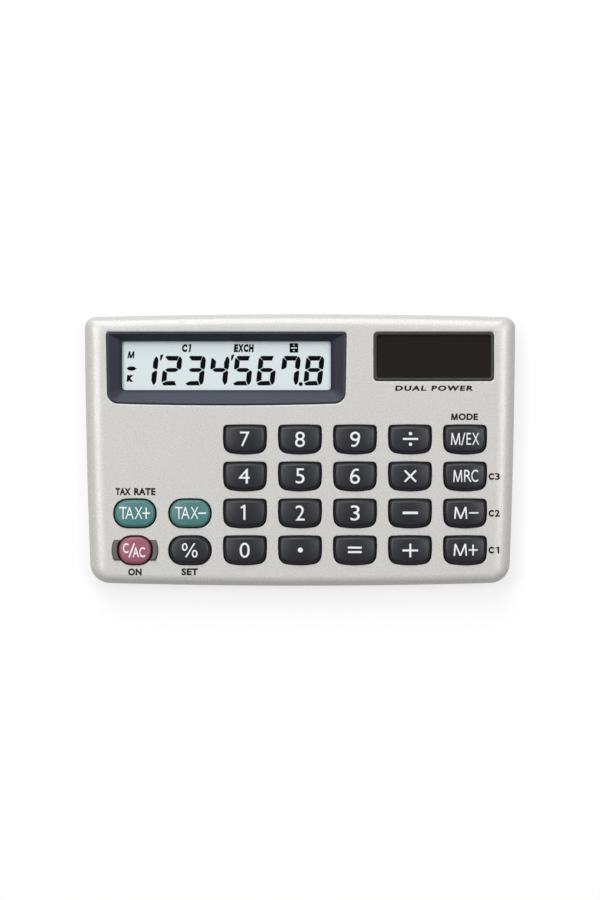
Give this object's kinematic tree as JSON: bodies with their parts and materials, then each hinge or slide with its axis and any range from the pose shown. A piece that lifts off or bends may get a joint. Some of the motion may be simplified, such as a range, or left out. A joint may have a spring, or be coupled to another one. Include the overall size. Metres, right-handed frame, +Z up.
{
  "type": "pocket calculator",
  "caption": "Slim pocket calculator with a bowed tapering case, a funnel-framed number display, a solar panel and sprung push keys over a rubber keypad.",
  "frame": {"origin": "on the surface it lies on, under the middle of the case", "axes": "+X left to right across the keys, +Y from the front edge to the display edge, +Z up out of the keys"},
  "size_m": [0.105, 0.0662, 0.009],
  "materials": {
    "silver_paint": "satin metallic paint on moulded plastic",
    "rear_plastic": "fine moulded texture",
    "screw_steel": "zinc plated",
    "bezel_plastic": "smooth moulded",
    "clear_acrylic": "clear",
    "polariser": "film",
    "display_glass": "clear",
    "reflector": "satin film",
    "foam": "foam",
    "ribbon_film": "printed film",
    "smoked_acrylic": "smoked",
    "solar_silicon": "amorphous silicon on glass",
    "lead_sleeve": "sleeve",
    "board_laminate": "phenolic laminate",
    "black_epoxy": "cast",
    "capacitor_body": "moulded",
    "cell_steel": "nickel plated",
    "contact_steel": "plated strip",
    "silicone_rubber": "moulded",
    "carbon_rubber": "printed",
    "guard_plastic": "moulded",
    "dark_key": "satin, printed legend",
    "green_key": "satin, printed legend",
    "red_key": "satin, printed legend"
  },
  "bodies": {
    "case": {"front_case": "silver_paint", "rear_cover": "rear_plastic", "case_screws": "screw_steel", "battery_cover": "rear_plastic", "battery_cover_screw": "screw_steel", "display_bezel": "bezel_plastic", "display_window": "clear_acrylic", "front_polariser": "polariser", "display_glass": "display_glass", "rear_reflector": "reflector", "display_cushion": "foam", "display_ribbon": "ribbon_film", "solar_bezel": "bezel_plastic", "solar_window": "smoked_acrylic", "solar_cell": "solar_silicon", "solar_leads": "lead_sleeve", "main_board": "board_laminate", "chip_cover": "black_epoxy", "capacitor": "capacitor_body", "clamp_diode": "black_epoxy", "button_cell": "cell_steel", "positive_contact": "contact_steel", "negative_contact": "contact_steel", "rubber_keypad": "silicone_rubber", "contact_pills": "carbon_rubber", "clear_key_guard": "guard_plastic"},
    "key_7_cap": {"key_7": "dark_key"},
    "key_8_cap": {"key_8": "dark_key"},
    "key_9_cap": {"key_9": "dark_key"},
    "key_divide_cap": {"key_divide": "dark_key"},
    "key_memory_exchange_cap": {"key_memory_exchange": "dark_key"},
    "key_4_cap": {"key_4": "dark_key"},
    "key_5_cap": {"key_5": "dark_key"},
    "key_6_cap": {"key_6": "dark_key"},
    "key_multiply_cap": {"key_multiply": "dark_key"},
    "key_memory_recall_cap": {"key_memory_recall": "dark_key"},
    "key_tax_plus_cap": {"key_tax_plus": "green_key"},
    "key_tax_minus_cap": {"key_tax_minus": "green_key"},
    "key_1_cap": {"key_1": "dark_key"},
    "key_2_cap": {"key_2": "dark_key"},
    "key_3_cap": {"key_3": "dark_key"},
    "key_minus_cap": {"key_minus": "dark_key"},
    "key_memory_minus_cap": {"key_memory_minus": "dark_key"},
    "key_clear_cap": {"key_clear": "red_key"},
    "key_percent_cap": {"key_percent": "dark_key"},
    "key_0_cap": {"key_0": "dark_key"},
    "key_point_cap": {"key_point": "dark_key"},
    "key_equals_cap": {"key_equals": "dark_key"},
    "key_plus_cap": {"key_plus": "dark_key"},
    "key_memory_plus_cap": {"key_memory_plus": "dark_key"}
  },
  "joints": [
    {"name": "key_7_press", "type": "slide", "parent": "case", "child": "key_7_cap", "axis": [0, 0, -1], "range_m": [0, 0.0009], "stiffness_N_per_m": 400, "springref_m": -0.001, "deforming": ["rubber_keypad", "contact_pills"]},
    {"name": "key_8_press", "type": "slide", "parent": "case", "child": "key_8_cap", "axis": [0, 0, -1], "range_m": [0, 0.0009], "stiffness_N_per_m": 400, "springref_m": -0.001, "deforming": ["rubber_keypad", "contact_pills"]},
    {"name": "key_9_press", "type": "slide", "parent": "case", "child": "key_9_cap", "axis": [0, 0, -1], "range_m": [0, 0.0009], "stiffness_N_per_m": 400, "springref_m": -0.001, "deforming": ["rubber_keypad", "contact_pills"]},
    {"name": "key_divide_press", "type": "slide", "parent": "case", "child": "key_divide_cap", "axis": [0, 0, -1], "range_m": [0, 0.0009], "stiffness_N_per_m": 400, "springref_m": -0.001, "deforming": ["rubber_keypad", "contact_pills"]},
    {"name": "key_memory_exchange_press", "type": "slide", "parent": "case", "child": "key_memory_exchange_cap", "axis": [0, 0, -1], "range_m": [0, 0.0009], "stiffness_N_per_m": 400, "springref_m": -0.001, "deforming": ["rubber_keypad", "contact_pills"]},
    {"name": "key_4_press", "type": "slide", "parent": "case", "child": "key_4_cap", "axis": [0, 0, -1], "range_m": [0, 0.0009], "stiffness_N_per_m": 400, "springref_m": -0.001, "deforming": ["rubber_keypad", "contact_pills"]},
    {"name": "key_5_press", "type": "slide", "parent": "case", "child": "key_5_cap", "axis": [0, 0, -1], "range_m": [0, 0.0009], "stiffness_N_per_m": 400, "springref_m": -0.001, "deforming": ["rubber_keypad", "contact_pills"]},
    {"name": "key_6_press", "type": "slide", "parent": "case", "child": "key_6_cap", "axis": [0, 0, -1], "range_m": [0, 0.0009], "stiffness_N_per_m": 400, "springref_m": -0.001, "deforming": ["rubber_keypad", "contact_pills"]},
    {"name": "key_multiply_press", "type": "slide", "parent": "case", "child": "key_multiply_cap", "axis": [0, 0, -1], "range_m": [0, 0.0009], "stiffness_N_per_m": 400, "springref_m": -0.001, "deforming": ["rubber_keypad", "contact_pills"]},
    {"name": "key_memory_recall_press", "type": "slide", "parent": "case", "child": "key_memory_recall_cap", "axis": [0, 0, -1], "range_m": [0, 0.0009], "stiffness_N_per_m": 400, "springref_m": -0.001, "deforming": ["rubber_keypad", "contact_pills"]},
    {"name": "key_tax_plus_press", "type": "slide", "parent": "case", "child": "key_tax_plus_cap", "axis": [0, 0, -1], "range_m": [0, 0.0009], "stiffness_N_per_m": 400, "springref_m": -0.001, "deforming": ["rubber_keypad", "contact_pills"]},
    {"name": "key_tax_minus_press", "type": "slide", "parent": "case", "child": "key_tax_minus_cap", "axis": [0, 0, -1], "range_m": [0, 0.0009], "stiffness_N_per_m": 400, "springref_m": -0.001, "deforming": ["rubber_keypad", "contact_pills"]},
    {"name": "key_1_press", "type": "slide", "parent": "case", "child": "key_1_cap", "axis": [0, 0, -1], "range_m": [0, 0.0009], "stiffness_N_per_m": 400, "springref_m": -0.001, "deforming": ["rubber_keypad", "contact_pills"]},
    {"name": "key_2_press", "type": "slide", "parent": "case", "child": "key_2_cap", "axis": [0, 0, -1], "range_m": [0, 0.0009], "stiffness_N_per_m": 400, "springref_m": -0.001, "deforming": ["rubber_keypad", "contact_pills"]},
    {"name": "key_3_press", "type": "slide", "parent": "case", "child": "key_3_cap", "axis": [0, 0, -1], "range_m": [0, 0.0009], "stiffness_N_per_m": 400, "springref_m": -0.001, "deforming": ["rubber_keypad", "contact_pills"]},
    {"name": "key_minus_press", "type": "slide", "parent": "case", "child": "key_minus_cap", "axis": [0, 0, -1], "range_m": [0, 0.0009], "stiffness_N_per_m": 400, "springref_m": -0.001, "deforming": ["rubber_keypad", "contact_pills"]},
    {"name": "key_memory_minus_press", "type": "slide", "parent": "case", "child": "key_memory_minus_cap", "axis": [0, 0, -1], "range_m": [0, 0.0009], "stiffness_N_per_m": 400, "springref_m": -0.001, "deforming": ["rubber_keypad", "contact_pills"]},
    {"name": "key_clear_press", "type": "slide", "parent": "case", "child": "key_clear_cap", "axis": [0, 0, -1], "range_m": [0, 0.0009], "stiffness_N_per_m": 400, "springref_m": -0.001, "deforming": ["rubber_keypad", "contact_pills"]},
    {"name": "key_percent_press", "type": "slide", "parent": "case", "child": "key_percent_cap", "axis": [0, 0, -1], "range_m": [0, 0.0009], "stiffness_N_per_m": 400, "springref_m": -0.001, "deforming": ["rubber_keypad", "contact_pills"]},
    {"name": "key_0_press", "type": "slide", "parent": "case", "child": "key_0_cap", "axis": [0, 0, -1], "range_m": [0, 0.0009], "stiffness_N_per_m": 400, "springref_m": -0.001, "deforming": ["rubber_keypad", "contact_pills"]},
    {"name": "key_point_press", "type": "slide", "parent": "case", "child": "key_point_cap", "axis": [0, 0, -1], "range_m": [0, 0.0009], "stiffness_N_per_m": 400, "springref_m": -0.001, "deforming": ["rubber_keypad", "contact_pills"]},
    {"name": "key_equals_press", "type": "slide", "parent": "case", "child": "key_equals_cap", "axis": [0, 0, -1], "range_m": [0, 0.0009], "stiffness_N_per_m": 400, "springref_m": -0.001, "deforming": ["rubber_keypad", "contact_pills"]},
    {"name": "key_plus_press", "type": "slide", "parent": "case", "child": "key_plus_cap", "axis": [0, 0, -1], "range_m": [0, 0.0009], "stiffness_N_per_m": 400, "springref_m": -0.001, "deforming": ["rubber_keypad", "contact_pills"]},
    {"name": "key_memory_plus_press", "type": "slide", "parent": "case", "child": "key_memory_plus_cap", "axis": [0, 0, -1], "range_m": [0, 0.0009], "stiffness_N_per_m": 400, "springref_m": -0.001, "deforming": ["rubber_keypad", "contact_pills"]}
  ]
}
